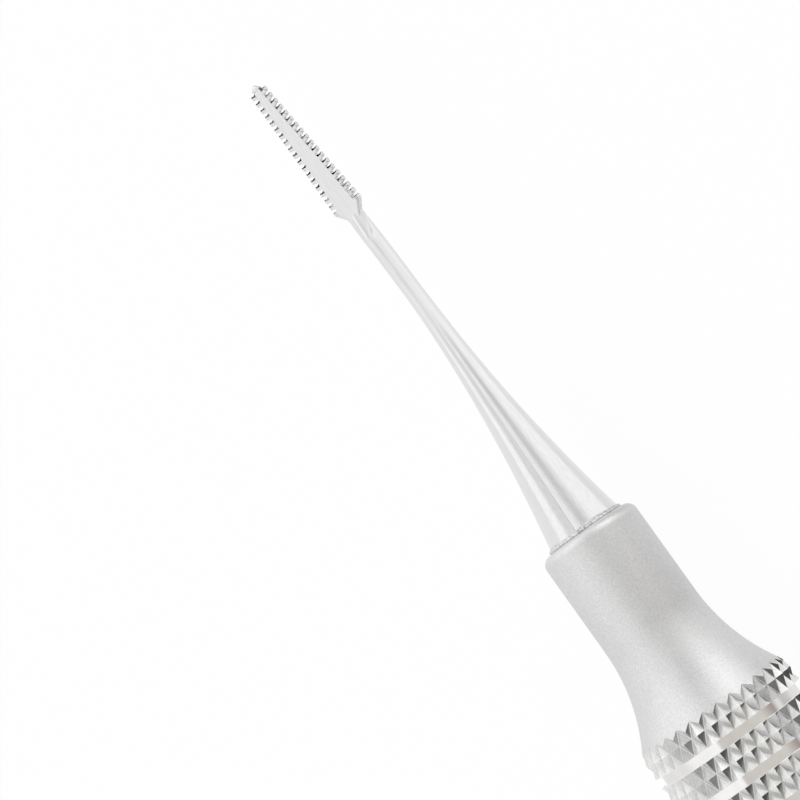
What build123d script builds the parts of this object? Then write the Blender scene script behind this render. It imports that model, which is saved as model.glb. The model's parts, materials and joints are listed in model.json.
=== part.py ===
from build123d import *
import math
import os

# Double-ended periodontal file, in millimetres.
# The handle lies along X, on its knurled bands, with Z up and the surface it lies on at z = 0.
# The origin is under the middle of the instrument. Blade flats face up.

# Handle: a tube drawn in to a nose at each end
grip_diameter = 9.5
handle_length = 116.0
tube_wall = 1.2
nose_diameter = 5.96
nose_length = 6.0
rim_radius = 0.58
rim_flats = 2
flare_radius = 10.7

# Grip: diamond knurled bands parted by polished grooves
bands_per_grip = 5
band_length = 1.66
groove_width = 0.58
groove_depth = 0.38
diamonds_around = 32
knurl_depth = 0.30
knurl_run_in = 0.03
plain_relief = 0.01

# Tang of each working end, seated in the nose
tang_diameter = 4.60
tang_clearance = 0.03
tang_length = 14.0
socket_end_gap = 0.4

# Land at the mouth, where the ground flats of the shank start
land_height = 0.23
land_run = 0.35

# Shank: eight ground flats that narrow to a slim neck
shank_start_diameter = 4.56
neck_diameter = 1.09
taper_length = 16.7
taper_power = 1.91
narrow_flat_arc = 30.0
shank_stations = 10
bend_start = 12.7
bend_length = 9.3
bend_angle = 5.9

# Neck where it thins down into the blade
flatten_start = 19.9
neck_end_thickness = 0.58
neck_overlap = 0.35

# Blade: a thin plate with filing teeth along both edges and a square point
blade_thickness = 0.62
blade_tip_width = 0.89
blade_base_width = 1.67
point_angle = 90.0
point_length = 0.42
teeth_per_edge = 18
tooth_pitch = 0.4325
slot_width = 0.155
slot_depth = 0.31
slot_slant = 10.5
tooth_round = 0.10
point_round = 0.03
shoulder_length = 0.24
shoulder_angle = 38.0
shoulder_tail_width = 0.52

# Sizes worked out from the ones above
grip_radius = grip_diameter / 2
plain_radius = grip_radius - plain_relief
root_radius = grip_radius - knurl_depth
groove_radius = grip_radius - groove_depth
tang_radius = tang_diameter / 2
socket_radius = tang_radius + tang_clearance
socket_depth = tang_length + socket_end_gap
cavity_radius = grip_radius - tube_wall
toothed_length = teeth_per_edge * tooth_pitch
blade_length = point_length + toothed_length + shoulder_length
neck_end = bend_start + bend_length + neck_overlap
apex_distance = bend_start + bend_length + blade_length

# The handle rests on two lines of knurl tips, a quarter of a diamond to each side of its lowest line
diamond_turn = 2 * math.pi / diamonds_around
rest_turn = diamond_turn / 4
axis_height = grip_radius * math.cos(rest_turn)

# The flare starts in line with the nose and ends where it meets the roots of the knurl
flare_rise = root_radius - nose_diameter / 2
flare_turn = math.acos(1 - flare_rise / flare_radius)
knurl_start = nose_length + flare_radius * math.sin(flare_turn)
grip_end = knurl_start + bands_per_grip * (band_length + groove_width)

# The blank rounds over to the full diameter, and the first band's crests follow it,
# from a hair under the flare's end
crest_radius = (knurl_depth + knurl_run_in) / (1 - math.cos(flare_turn))
crest_end = knurl_start + crest_radius * math.sin(flare_turn)


def blank_radius(x):
    """Outer radius of the blank at a distance x from the mouth, past the start of the knurl."""
    if x >= crest_end:
        return grip_radius
    return grip_radius - crest_radius + math.sqrt(crest_radius**2 - (crest_end - x) ** 2)


def blank_profile():
    """Half of the handle's outer profile, from its mouth to its middle, with the grip turned down."""
    middle = handle_length / 2
    rim = []
    for k in range(rim_flats + 1):
        angle = math.pi / 2 * k / rim_flats
        rise = rim_radius * (1 - math.sin(angle))
        rim.append((rim_radius * (1 - math.cos(angle)), nose_diameter / 2 - rise))
    with BuildSketch() as profile:
        with BuildLine():
            Polyline((0, 0), *rim)
            nose = Line(rim[-1], (nose_length, nose_diameter / 2))
            flare = JernArc(nose @ 1, nose % 1, flare_radius, math.degrees(flare_turn))
            step = Line(flare @ 1, (knurl_start, groove_radius))
            core = Line(step @ 1, (grip_end, groove_radius))
            rise = Line(core @ 1, (grip_end, plain_radius))
            plain = Line(rise @ 1, (middle, plain_radius))
            Polyline(plain @ 1, (middle, 0), (0, 0))
        make_face()
    return profile.sketch


def knurled_band(front):
    """One band as a solid disc whose rim is pyramids: a full row between two half rows."""
    half = band_length / 2

    def spot(step, row, raised):
        x = front + row * half
        radius = blank_radius(x) if raised else min(root_radius, blank_radius(x))
        angle = step * diamond_turn + rest_turn
        return Vector(x, radius * math.sin(angle), radius * math.cos(angle))

    faces = []
    for i in range(diamonds_around):
        left, right = spot(i - 0.5, 1, False), spot(i + 0.5, 1, False)
        near, far, tip = spot(i, 0, False), spot(i, 2, False), spot(i, 1, True)
        for pair in ((near, right), (right, far), (far, left), (left, near)):
            faces.append(Face(Wire.make_polygon([*pair, tip])))
        for row in (0, 2):
            here, ahead = spot(i, row, False), spot(i + 1, row, False)
            edge_tip = spot(i + 0.5, row, True)
            faces.append(Face(Wire.make_polygon([here, right, edge_tip])))
            faces.append(Face(Wire.make_polygon([right, ahead, edge_tip])))
    for row in (0, 2):
        rim = [spot(k / 2, row, k % 2 == 1) for k in range(2 * diamonds_around)]
        faces.append(Face(Wire.make_polygon(rim)))
    return Solid(Shell(faces))


def bore_profile():
    """Half of the inside of the tube: the tang's socket and the wider bore behind it."""
    middle = handle_length / 2
    with BuildSketch() as profile:
        with BuildLine():
            Polyline(
                (0, 0),
                (0, socket_radius),
                (socket_depth, socket_radius),
                (socket_depth, cavity_radius),
                (middle, cavity_radius),
                (middle, 0),
                (0, 0),
            )
        make_face()
    return profile.sketch


def make_handle():
    """The whole handle, centred on the origin with its axis on X."""
    pitch = band_length + groove_width
    to_mouth = Pos(-handle_length / 2, 0, 0)
    bands = [to_mouth * knurled_band(knurl_start + i * pitch) for i in range(bands_per_grip)]
    bands += [band.mirror(Plane.YZ) for band in bands]
    turned = []
    for profile in (blank_profile(), bore_profile()):
        half = to_mouth * profile
        turned.append(revolve(half + half.mirror(Plane.YZ), Axis.X))
    blank, bore = turned
    return blank + bands - bore


def axis_plane(distance):
    """Plane across the shank, at a distance along its bent axis from the mouth."""
    bend_radius = bend_length / math.radians(bend_angle)
    along = min(max(distance - bend_start, 0), bend_length)
    turn = along / bend_radius
    beyond = max(distance - bend_start - bend_length, 0)
    straight = min(distance, bend_start)
    x = straight + bend_radius * math.sin(turn) + beyond * math.cos(turn)
    z = bend_radius * (1 - math.cos(turn)) + beyond * math.sin(turn)
    forward = Vector(math.cos(turn), 0, math.sin(turn))
    return Plane(origin=(x, 0, z), x_dir=(0, 1, 0), z_dir=forward)


def shank_section(distance):
    """Eight-sided section: narrow flats across Y and Z, wide ones between, thinned at the neck."""
    taper = max(1 - distance / taper_length, 0) ** taper_power
    radius = (neck_diameter + (shank_start_diameter - neck_diameter) * taper) / 2
    thin_end = neck_end_thickness / (2 * radius * math.cos(math.radians(narrow_flat_arc / 2)))
    progress = max((distance - flatten_start) / (neck_end - flatten_start), 0)
    thin = 1 + (thin_end - 1) * progress
    corners = []
    for quarter in range(4):
        for side in (-1, 1):
            angle = math.radians(90 * quarter + side * narrow_flat_arc / 2)
            corners.append((radius * math.cos(angle), thin * radius * math.sin(angle)))
    return axis_plane(distance) * Polygon(*corners, align=None)


def make_shank():
    """The shank, skinned through sections from inside the mouth to inside the blade."""
    stations = [flatten_start * k / shank_stations for k in range(shank_stations + 1)]
    stations += [(flatten_start + neck_end) / 2, neck_end]
    return loft([shank_section(distance) for distance in stations])


def half_width(q):
    """Half the width of the blade over its teeth, at a distance q behind the point."""
    share = (q - point_length) / toothed_length
    return (blade_tip_width + (blade_base_width - blade_tip_width) * share) / 2


def blade_edge():
    """Corners of one toothed edge, as (distance behind the point, half width), from the point back."""
    slant = math.radians(slot_slant)
    inward = Vector(math.sin(slant), -math.cos(slant))
    forward = Vector(-math.cos(slant), -math.sin(slant))
    point_slope = math.tan(math.radians(point_angle / 2))
    edge_slope = (blade_base_width - blade_tip_width) / (2 * toothed_length)
    corners = [Vector(0, 0)]
    for i in range(teeth_per_edge + 1):
        q = point_length + i * tooth_pitch
        tooth_tip = Vector(q, half_width(q))
        wall_foot = tooth_tip + inward * slot_depth
        far_foot = wall_foot + forward * slot_width
        at_point = i == 0
        slope = point_slope if at_point else edge_slope
        rise = far_foot.X * point_slope - far_foot.Y if at_point else half_width(far_foot.X) - far_foot.Y
        mouth = far_foot - inward * (rise / (math.cos(slant) + slope * math.sin(slant)))
        back = point_round if at_point else tooth_round
        corners.append(mouth + (corners[-1] - mouth).normalized() * back)
        corners.append(mouth + inward * back)
        corners += [far_foot, wall_foot, tooth_tip]
    return corners


def make_blade():
    """The blade plate, lying flat with its point at the origin and its root towards -X."""
    edge = blade_edge()
    shoulder = Vector(edge[-1].X + shoulder_length, edge[-1].Y)
    tail_half = shoulder_tail_width / 2
    tail_run = (shoulder.Y - tail_half) / math.tan(math.radians(shoulder_angle))
    edge += [shoulder, Vector(shoulder.X + tail_run, tail_half)]
    outline = [(-corner.X, corner.Y) for corner in edge]
    outline += [(x, -y) for x, y in reversed(outline[1:])]
    return extrude(make_face(Polyline(*outline, close=True)), blade_thickness / 2, both=True)


def make_file_end():
    """One working end, with its mouth plane at the origin and its blade towards +X."""
    tang = Pos(-tang_length / 2, 0, 0) * Rot(0, 90, 0) * Cylinder(tang_radius, tang_length)
    land = Pos(land_height / 2, 0, 0) * Rot(0, 90, 0) * Cone(tang_radius, tang_radius - land_run, land_height)
    tip = axis_plane(apex_distance)
    blade = Plane(origin=tip.origin, x_dir=tip.z_dir, z_dir=tip.z_dir.cross(tip.x_dir)) * make_blade()
    return tang + land + make_shank() + blade


os.makedirs("parts", exist_ok=True)

lift = Pos(0, 0, axis_height)
handle = lift * make_handle()
end_a = lift * Pos(handle_length / 2, 0, 0) * make_file_end()
end_b = lift * Rot(0, 0, 180) * Pos(handle_length / 2, 0, 0) * make_file_end()

export_step(handle, "parts/handle.step")
export_step(end_a, "parts/file_end_a.step")
export_step(end_b, "parts/file_end_b.step")
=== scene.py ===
import json
import logging
import math
from dataclasses import dataclass, field
from enum import Enum

import bmesh
import bpy
from mathutils import Matrix, Vector, noise

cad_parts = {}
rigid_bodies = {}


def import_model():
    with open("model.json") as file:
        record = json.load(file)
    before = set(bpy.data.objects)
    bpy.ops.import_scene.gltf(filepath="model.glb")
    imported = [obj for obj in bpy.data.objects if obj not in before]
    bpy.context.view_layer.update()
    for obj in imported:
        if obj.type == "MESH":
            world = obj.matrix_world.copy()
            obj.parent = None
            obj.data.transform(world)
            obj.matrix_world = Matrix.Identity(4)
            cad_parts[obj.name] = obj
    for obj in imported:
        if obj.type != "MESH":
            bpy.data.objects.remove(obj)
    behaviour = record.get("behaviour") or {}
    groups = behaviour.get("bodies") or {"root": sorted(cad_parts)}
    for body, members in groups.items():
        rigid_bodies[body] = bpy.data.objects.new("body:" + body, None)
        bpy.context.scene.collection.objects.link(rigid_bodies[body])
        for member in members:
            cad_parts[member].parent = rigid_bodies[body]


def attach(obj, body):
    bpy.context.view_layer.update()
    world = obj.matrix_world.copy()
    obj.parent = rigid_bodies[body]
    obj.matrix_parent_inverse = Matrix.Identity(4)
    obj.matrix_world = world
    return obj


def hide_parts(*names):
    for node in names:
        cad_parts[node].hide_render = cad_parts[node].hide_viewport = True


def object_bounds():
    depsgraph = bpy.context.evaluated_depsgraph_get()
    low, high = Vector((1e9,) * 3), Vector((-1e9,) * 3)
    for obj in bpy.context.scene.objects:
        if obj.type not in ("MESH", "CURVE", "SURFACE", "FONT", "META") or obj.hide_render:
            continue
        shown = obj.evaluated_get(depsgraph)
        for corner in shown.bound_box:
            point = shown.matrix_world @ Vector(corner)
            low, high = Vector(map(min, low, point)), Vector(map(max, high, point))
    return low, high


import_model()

log = logging.getLogger("dental_file")

MM = 0.001
WELD = 0.002 * MM
DIGITS = 5
NORMAL_WEIGHT = 80
CAD_BOX = [list(corner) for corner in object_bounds()]
AXIS_HEIGHT = (CAD_BOX[0][2] + CAD_BOX[1][2]) / 2 / MM
HANDLE_LENGTH = 116.0
MOUTH = HANDLE_LENGTH / 2
GRIP_RADIUS = 4.75

Colour = tuple[float, float, float]
Wall = tuple[tuple[float, Colour], ...]
Range = tuple[float, float]
Material = bpy.types.Material
Mesh = bpy.types.Mesh
Socket = bpy.types.NodeSocket
Tint = Socket | Colour


def greys(*stops: Range) -> Wall:
    """Stops of plain grey, each given as its place on the ramp and its grey."""
    return tuple((place, (grey, grey, grey)) for place, grey in stops)


# Walls of the light tent, by the angle in degrees from straight up towards the viewer's side
GRIP_WALL = greys(
    (-180, 0.92), (-60, 1.04), (0, 0.96), (25, 0.56), (50, 0.18),
    (85, 0.07), (138, 0.08), (165, 0.55), (180, 0.92),
)
FRONT_WALL = (
    *greys((-180, 0.84), (-60, 0.86), (-42, 1.03), (2, 1.05)),
    (6, (0.66, 0.64, 0.60)), (80, (0.69, 0.67, 0.64)),
    (91, (0.54, 0.49, 0.46)), (102, (0.38, 0.33, 0.31)),
    *greys((108, 0.68), (114, 0.84), (124, 0.58), (138, 0.64), (150, 0.86)),
)
NECK_WALL = greys(
    (-180, 0.90), (-110, 0.97), (-70, 1.06), (-40, 1.08), (-20, 1.00),
    (10, 0.90), (44, 0.94), (62, 1.14), (90, 1.10), (150, 1.00),
)
TIP_WALL = greys(
    (-180, 0.85), (-60, 1.25), (-5, 1.34), (18, 0.72), (46, 0.72),
    (66, 1.70), (102, 1.50), (126, 0.80), (150, 0.60), (180, 0.85),
)


def shank_wall(arris: float) -> Wall:
    """Wall seen by the shank's flats, with the given grey where only their arrises look."""
    return greys(
        (-180, 0.92), (-110, 0.97), (-60, 1.00), (-46, 1.00), (-40, 1.20), (-30, 1.18),
        (-25, 0.88), (-10, 0.86), (2, 1.00), (14, 1.00), (22, arris), (44, arris),
        (47, 1.08), (53, 1.10), (55, 0.70), (59, 0.72), (63, 0.98), (67, 1.16),
        (77, 1.16), (86, 1.00), (130, 1.00), (150, 0.92),
    )


class Finish(Enum):
    """Index of a surface finish on a mesh."""

    MAIN = 0
    CUT = 1
    SIDE = 2

    @property
    def label(self) -> str:
        """Name of the input that takes this finish's material."""
        return f"Finish {self.name.lower()}"


class Side(Enum):
    """The two ends of the instrument: name of the node and turn about the upright axis."""

    PLUS_X = ("file_end_a", 0.0)
    MINUS_X = ("file_end_b", 180.0)


class NodeBoard:
    """Adds nodes to a node tree and links them up."""

    noise_roughness = 0.55

    def __init__(self, tree: bpy.types.NodeTree) -> None:
        """Takes the tree that the nodes go into."""
        self.tree = tree

    @classmethod
    def emptied(cls, owner: Material | bpy.types.World) -> "NodeBoard":
        """Empties the node tree of a material or world and returns its board."""
        owner.use_nodes = True
        owner.node_tree.nodes.clear()
        return cls(owner.node_tree)

    def add(self, kind: str, inputs: dict | None = None, **settings: object) -> bpy.types.Node:
        """Adds one node.

        Args:
            kind: Blender's name for the node type.
            inputs: Values or output sockets, by the input's name or index.
            **settings: Properties of the node, set before its inputs.

        Returns:
            The new node.
        """
        node = self.tree.nodes.new(kind)
        for name, value in settings.items():
            setattr(node, name, value)
        for key, value in (inputs or {}).items():
            if isinstance(value, Socket):
                self.tree.links.new(value, node.inputs[key])
            else:
                node.inputs[key].default_value = value
        return node

    def value(self, operation: str, first: Socket | float, second: Socket | float = 0.0) -> Socket:
        """Adds one step of arithmetic on two values and returns its result."""
        return self.add("ShaderNodeMath", {0: first, 1: second}, operation=operation).outputs[0]

    def parts(self, vector: Socket) -> bpy.types.bpy_prop_collection:
        """Splits a vector and returns its three outputs, X, Y and Z."""
        return self.add("ShaderNodeSeparateXYZ", {0: vector}).outputs

    def ramp(self, factor: Socket, stops: Wall) -> Socket:
        """Adds a colour ramp.

        Args:
            factor: The output that drives it, from 0 to 1.
            stops: Position and colour of each stop, in rising order.

        Returns:
            The ramp's colour output.
        """
        node = self.add("ShaderNodeValToRGB", {"Fac": factor})
        marks = node.color_ramp.elements
        while len(marks) < len(stops):
            marks.new(0.5)
        for mark, (position, colour) in zip(marks, stops):
            mark.position = position
            mark.color = (*colour, 1.0)
        return node.outputs["Color"]

    def object_point(self, scale: Colour = (1, 1, 1), shift: Colour = (0, 0, 0)) -> Socket:
        """Adds Object coordinates that are scaled and then shifted, and returns their output."""
        place = self.add("ShaderNodeTexCoord").outputs["Object"]
        sizes = {"Vector": place, "Scale": scale, "Location": shift}
        return self.add("ShaderNodeMapping", sizes).outputs["Vector"]

    def noise(self, point: Socket, grain: float, detail: float = 2.0) -> Socket:
        """Adds a noise texture with grains of a size in millimetres and returns its factor."""
        sizes = {"Vector": point, "Scale": 1 / (grain * MM), "Detail": detail}
        sizes["Roughness"] = self.noise_roughness
        return self.add("ShaderNodeTexNoise", sizes).outputs["Fac"]

    def spread(self, value: Socket, low: float, high: float, given: Range = (0.3, 0.7)) -> Socket:
        """Maps a value from the given range to low and high, clamped, and returns the result."""
        ends = {"Value": value, "From Min": given[0], "From Max": given[1]}
        ends |= {"To Min": low, "To Max": high}
        return self.add("ShaderNodeMapRange", ends).outputs["Result"]

    def blend(self, factor: Socket | float, first: Tint, second: Tint, how: str = "MIX") -> Socket:
        """Mixes two colours by a factor, in the way that is named, and returns the mix."""
        inputs = {0: factor}
        for key, colour in ((6, first), (7, second)):
            inputs[key] = colour if isinstance(colour, Socket) else (*colour, 1.0)
        return self.add("ShaderNodeMix", inputs, data_type="RGBA", blend_type=how).outputs[2]


@dataclass(frozen=True)
class Grain:
    """Noise with grains of one size in millimetres, scaled along each axis."""

    size: float
    scale: Colour = (1, 1, 1)
    detail: float = 2.0

    def factor(self, board: NodeBoard) -> Socket:
        """Adds the noise to a material and returns its factor."""
        return board.noise(board.object_point(self.scale), self.size, self.detail)


@dataclass(frozen=True)
class Steel:
    """What every steel finish has: its two colours, and the ranges of its gloss and relief.

    The relief follows the grain and the gloss follows the clouds, or the grain where there are
    none. The colour follows either, and a patchy finish is darker in the hollows of its clouds.
    """

    name: str
    dark: Colour
    light: Colour
    roughness: Range
    bump_mm: float
    bump_strength: float
    grain: Grain
    cloud: Grain | None = None
    clouds_colour: bool = False
    patch: float = 1.0
    metallic: float = 1.0

    def surface(self, board: NodeBoard) -> tuple[Socket, Socket, Socket]:
        """Adds the nodes that give the finish its look.

        Args:
            board: The material's node board.

        Returns:
            The outputs for colour, roughness and height.
        """
        grain = self.grain.factor(board)
        cloud = self.cloud.factor(board) if self.cloud else grain
        tint = board.spread(cloud if self.clouds_colour else grain, 0, 1)
        colour = board.blend(tint, self.dark, self.light)
        if self.patch < 1:
            patches = board.ramp(board.spread(cloud, 0, 1), greys((0, self.patch), (1, 1)))
            colour = board.blend(1.0, colour, patches, "MULTIPLY")
        return colour, board.spread(cloud, *self.roughness), grain

    def build(self) -> Material:
        """Builds the material."""
        material = bpy.data.materials.new(self.name)
        board = NodeBoard.emptied(material)
        colour, roughness, height = self.surface(board)
        relief = {"Strength": self.bump_strength, "Distance": self.bump_mm * MM, "Height": height}
        steel = {"Base Color": colour, "Roughness": roughness, "Metallic": self.metallic}
        steel["Normal"] = board.add("ShaderNodeBump", relief).outputs["Normal"]
        shader = board.add("ShaderNodeBsdfPrincipled", steel)
        board.add("ShaderNodeOutputMaterial", {"Surface": shader.outputs["BSDF"]})
        return material


@dataclass(frozen=True)
class BlastedSteel(Steel):
    """Bead-blasted satin steel: a soft, fine grain with faint cloudy patches."""

    name: str = "blasted_satin_steel"
    dark: Colour = (0.655, 0.655, 0.655)
    light: Colour = (0.79, 0.79, 0.79)
    roughness: Range = (0.40, 0.48)
    bump_mm: float = 0.006
    bump_strength: float = 0.35
    grain: Grain = Grain(0.10, detail=3.0)
    cloud: Grain = Grain(0.9, detail=4.0)
    patch: float = 0.96


@dataclass(frozen=True)
class TurnedSteel(Steel):
    """Polished groove floors and band walls, with faint rings left by the turning tool."""

    name: str = "polished_groove_steel"
    dark: Colour = (0.84, 0.83, 0.81)
    light: Colour = (0.90, 0.89, 0.88)
    roughness: Range = (0.05, 0.10)
    bump_mm: float = 0.0006
    bump_strength: float = 0.12
    grain: Grain = Grain(0.05, (1, 0.02, 0.02))
    cloud: Grain = Grain(0.8)
    clouds_colour: bool = True


@dataclass(frozen=True)
class GroundSteel(Steel):
    """Ground and satin-polished steel of the shank and blade, with fine lines along its length."""

    name: str = "ground_polished_steel"
    dark: Colour = (0.72, 0.72, 0.72)
    light: Colour = (0.79, 0.79, 0.79)
    roughness: Range = (0.09, 0.14)
    bump_mm: float = 0.0010
    bump_strength: float = 0.25
    grain: Grain = Grain(0.07, (0.012, 1, 1), 3.0)
    cloud: Grain = Grain(0.7, (0.4, 1, 1), 3.0)


@dataclass(frozen=True)
class PaintedShadeAndReflectionSteel(Steel):
    """Teeth's fronts, whose very dark colour is painted shade; given pale colours, it paints a
    bright reflection on the slot walls.
    """

    name: str = "painted_shade_tooth_steel"
    # Very dark, half-metallic base colour: painted shade on the teeth's fronts.
    dark: Colour = (0.06, 0.06, 0.06)
    light: Colour = (0.16, 0.16, 0.16)
    roughness: Range = (0.34, 0.50)
    bump_mm: float = 0.003
    bump_strength: float = 0.3
    grain: Grain = Grain(0.05, (1, 1, 0.15))
    metallic: float = 0.5


@dataclass(frozen=True)
class RoughLandSteel(Steel):
    """The land at the mouth, torn and speckled where the ground flats break out."""

    name: str = "rough_land_steel"
    dark: Colour = (0.52, 0.52, 0.52)
    light: Colour = (0.74, 0.74, 0.74)
    roughness: Range = (0.30, 0.50)
    bump_mm: float = 0.02
    bump_strength: float = 0.45
    grain: Grain = Grain(0.13, detail=3.0)
    grain_range: Range = (0.25, 0.75)
    pit: Colour = (0.34, 0.34, 0.34)
    shares: Range = (0.34, 0.52)

    def surface(self, board: NodeBoard) -> tuple[Socket, Socket, Socket]:
        """Puts dark pits and bright high spots in the colour, gloss and relief.

        Args:
            board: The material's node board.

        Returns:
            The outputs for colour, roughness and height.
        """
        grain = self.grain.factor(board)
        colours = (self.pit, self.dark, self.light, self.light)
        stops = tuple(zip((0, *self.shares, 1), colours))
        colour = board.ramp(board.spread(grain, 0, 1, self.grain_range), stops)
        return colour, board.spread(grain, *self.roughness), grain


@dataclass(frozen=True)
class KnurledSteel(Steel):
    """Rolled diamond faces: smoother towards their tips and rougher down in the roots, with painted
    shade that darkens them towards the roots.
    """

    name: str = "knurled_steel"
    dark: Colour = (0.72, 0.72, 0.71)
    light: Colour = (0.85, 0.85, 0.84)
    roughness: Range = (0.32, 0.19)
    bump_mm: float = 0.010
    bump_strength: float = 0.30
    grain: Grain = Grain(0.16, detail=3.0)
    radii: Range = (4.45, GRIP_RADIUS)
    mark_mm: float = 0.045
    mark_stretch: float = 14.0
    mark_lean: float = 29.3
    mark_range: Range = (0.30, 0.52)
    mark_grey: float = 0.78

    def marks(self, board: NodeBoard, across: Socket, lean: float) -> Socket:
        """Fine lines that run along one set of roots.

        Args:
            board: The material's node board.
            across: Place seen from the handle's axis.
            lean: Angle between the lines and the axis, in degrees.

        Returns:
            The lines' factor.
        """
        parts = board.parts(across)
        turn = board.value("ARCTAN2", parts["Y"], parts["Z"])
        around = board.value("MULTIPLY", turn, self.radii[1] * MM)
        along = board.parts(board.object_point())["X"]
        unrolled = board.add("ShaderNodeCombineXYZ", {"X": along, "Y": around}).outputs[0]
        sizes = {"Vector": unrolled, "Scale": (self.mark_stretch, 1, 1)}
        sizes["Rotation"] = (0, 0, math.radians(lean))
        turned = board.add("ShaderNodeMapping", sizes, vector_type="TEXTURE")
        return board.noise(turned.outputs["Vector"], self.mark_mm)

    def surface(self, board: NodeBoard) -> tuple[Socket, Socket, Socket]:
        """Paints shade into the faces by their height, darker towards the roots, and hatches them
        with the roller's marks.

        Args:
            board: The material's node board.

        Returns:
            The outputs for colour, roughness and height.
        """
        across = board.object_point((0, 1, 1), (0, 0, -AXIS_HEIGHT * MM))
        radius = board.add("ShaderNodeVectorMath", {0: across}, operation="LENGTH")
        ends = tuple(size * MM for size in self.radii)
        height = board.spread(radius.outputs["Value"], 0, 1, ends)
        lines = [self.marks(board, across, lean) for lean in (-self.mark_lean, self.mark_lean)]
        hatch = board.value("MINIMUM", *lines)
        marked = board.spread(hatch, 0, 1, self.mark_range)
        worn = board.ramp(marked, greys((0, self.mark_grey), (1, 1)))
        # The blend from dark in the roots to light at the crests is painted shade.
        colour = board.blend(1.0, board.blend(height, self.dark, self.light), worn, "MULTIPLY")
        relief = board.value("ADD", self.grain.factor(board), hatch)
        return colour, board.spread(height, *self.roughness, (0, 1)), relief


class Shell:
    """Faces in millimetres that become one mesh in metres. Repeated points are dropped."""

    def __init__(self) -> None:
        """Starts without points or faces."""
        self.index: dict[Colour, int] = {}
        self.points: list[Vector] = []
        self.faces: list[list[int]] = []
        self.finishes: list[int] = []

    def _place(self, point: Vector) -> int:
        """Index of a point, added if it is new."""
        key = tuple(round(value, DIGITS) + 0.0 for value in point)
        if key not in self.index:
            self.index[key] = len(self.points)
            self.points.append(point)
        return self.index[key]

    def face(self, points: list[Vector], finish: Finish = Finish.MAIN) -> None:
        """Adds one face, unless its points fall together.

        Args:
            points: The face's corners, in order.
            finish: Its finish.
        """
        corners = list(dict.fromkeys(self._place(point) for point in points))
        if len(corners) > 2:
            self.faces.append(corners)
            self.finishes.append(finish.value)

    def skin(
        self,
        rows: list[list[Vector]],
        finish: Finish = Finish.MAIN,
        closed: bool = True,
        capped: bool = False,
    ) -> None:
        """Joins rows of points with faces.

        Args:
            rows: Rows with the same number of points each.
            finish: Finish of the faces.
            closed: Whether the last point of a row joins its first.
            capped: Whether the first and last rows become end faces.
        """
        for near, far in zip(rows, rows[1:]):
            count = len(near)
            for i in range(count if closed else count - 1):
                j = (i + 1) % count
                self.face([near[i], near[j], far[j], far[i]], finish)
        if capped:
            self.face(rows[0], finish)
            self.face(rows[-1], finish)

    def stitch(self, first: list[Vector], second: list[Vector], finish: Finish) -> None:
        """Joins two open chains that turn about the X axis, whatever their numbers of points.

        Args:
            first: Points of one chain, by rising turn.
            second: Points of the other.
            finish: Finish of the faces.
        """
        turns = [[math.atan2(point.y, point.z) for point in chain] for chain in (first, second)]
        last = len(first) - 1, len(second) - 1
        i = j = 0
        while i < last[0] or j < last[1]:
            if j == last[1] or (i < last[0] and turns[0][i + 1] <= turns[1][j + 1]):
                self.face([first[i], first[i + 1], second[j]], finish)
                i += 1
            else:
                self.face([first[i], second[j + 1], second[j]], finish)
                j += 1

    def mesh(self, name: str) -> Mesh:
        """Makes the mesh, in metres, with each face's finish as an attribute."""
        mesh = bpy.data.meshes.new(name)
        mesh.from_pydata([point * MM for point in self.points], [], self.faces)
        finish = mesh.attributes.new("finish", "INT", "FACE")
        finish.data.foreach_set("value", self.finishes)
        return mesh

    def dressed(self, name: str, materials: list[Material]) -> Mesh:
        """Makes the mesh with its finishes as material slots."""
        mesh = self.mesh(name)
        for material in materials:
            mesh.materials.append(material)
        mesh.polygons.foreach_set("material_index", self.finishes)
        return mesh


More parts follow.
